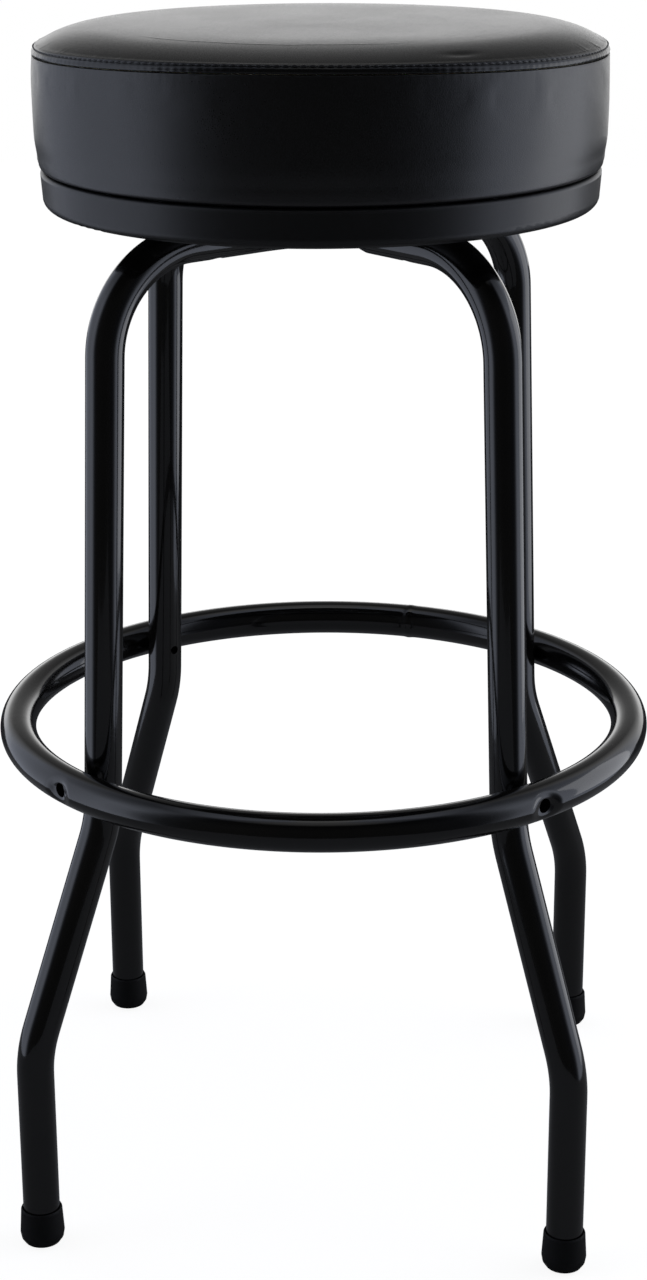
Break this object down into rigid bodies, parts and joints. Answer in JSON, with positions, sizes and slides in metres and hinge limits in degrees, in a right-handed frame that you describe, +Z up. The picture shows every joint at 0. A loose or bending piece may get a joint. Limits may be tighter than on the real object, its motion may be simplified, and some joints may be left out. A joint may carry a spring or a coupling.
{
  "type": "swivel bar stool",
  "caption": "Round padded swivel seat on crossed bent-tube legs with a foot ring and rubber feet.",
  "frame": {"origin": "on the floor under the swivel's axis", "axes": "+Z up along the swivel's axis; the four legs stand on the diagonals between +X and +Y; the front of the stool is towards -Y and its right towards +X"},
  "size_m": [0.4295, 0.4294, 0.762],
  "materials": {
    "gloss_black_paint": "gloss black baked enamel",
    "satin_black_paint": "satin black baked enamel",
    "black_zinc": "black zinc plated steel",
    "zinc_plate": "bright zinc plated steel",
    "ball_steel": "polished bearing steel",
    "black_rubber": "matte black moulded rubber",
    "black_vinyl": "black coated fabric, fine leather grain",
    "seat_foam": "cut polyurethane foam",
    "birch_plywood": "sanded birch plywood"
  },
  "bodies": {
    "frame": {"leg_frame_lower": "gloss_black_paint", "leg_frame_upper": "gloss_black_paint", "foot_ring": "gloss_black_paint", "ring_screws": "black_zinc", "ring_insert_nuts": "zinc_plate", "foot_rear_right": "black_rubber", "foot_rear_left": "black_rubber", "foot_front_left": "black_rubber", "foot_front_right": "black_rubber", "foot_washers": "zinc_plate", "swivel_base_plate": "zinc_plate", "swivel_rivet": "zinc_plate", "swivel_washer": "zinc_plate", "frame_bolts": "black_zinc", "frame_nuts": "zinc_plate"},
    "ball_race": {"bearing_balls": "ball_steel", "ball_cage": "zinc_plate"},
    "seat": {"swivel_top_plate": "zinc_plate", "seat_bolts": "zinc_plate", "tee_nuts": "zinc_plate", "seat_pan": "satin_black_paint", "seat_board": "birch_plywood", "foam_pad": "seat_foam", "seat_side_band": "black_vinyl", "seat_edge_strip": "black_vinyl", "seat_top_cover": "black_vinyl", "cover_staples": "zinc_plate"}
  },
  "joints": [
    {"name": "seat_swivel", "type": "hinge", "parent": "frame", "child": "seat", "pos_m": [0, 0, 0.66165], "axis": [0, 0, 1], "continuous": true},
    {"name": "race_roll", "type": "hinge", "parent": "frame", "child": "ball_race", "pos_m": [0, 0, 0.66165], "axis": [0, 0, 1], "continuous": true}
  ],
  "couplings": [
    {"joint": "race_roll", "follows": "seat_swivel", "ratio": 0.5}
  ]
}
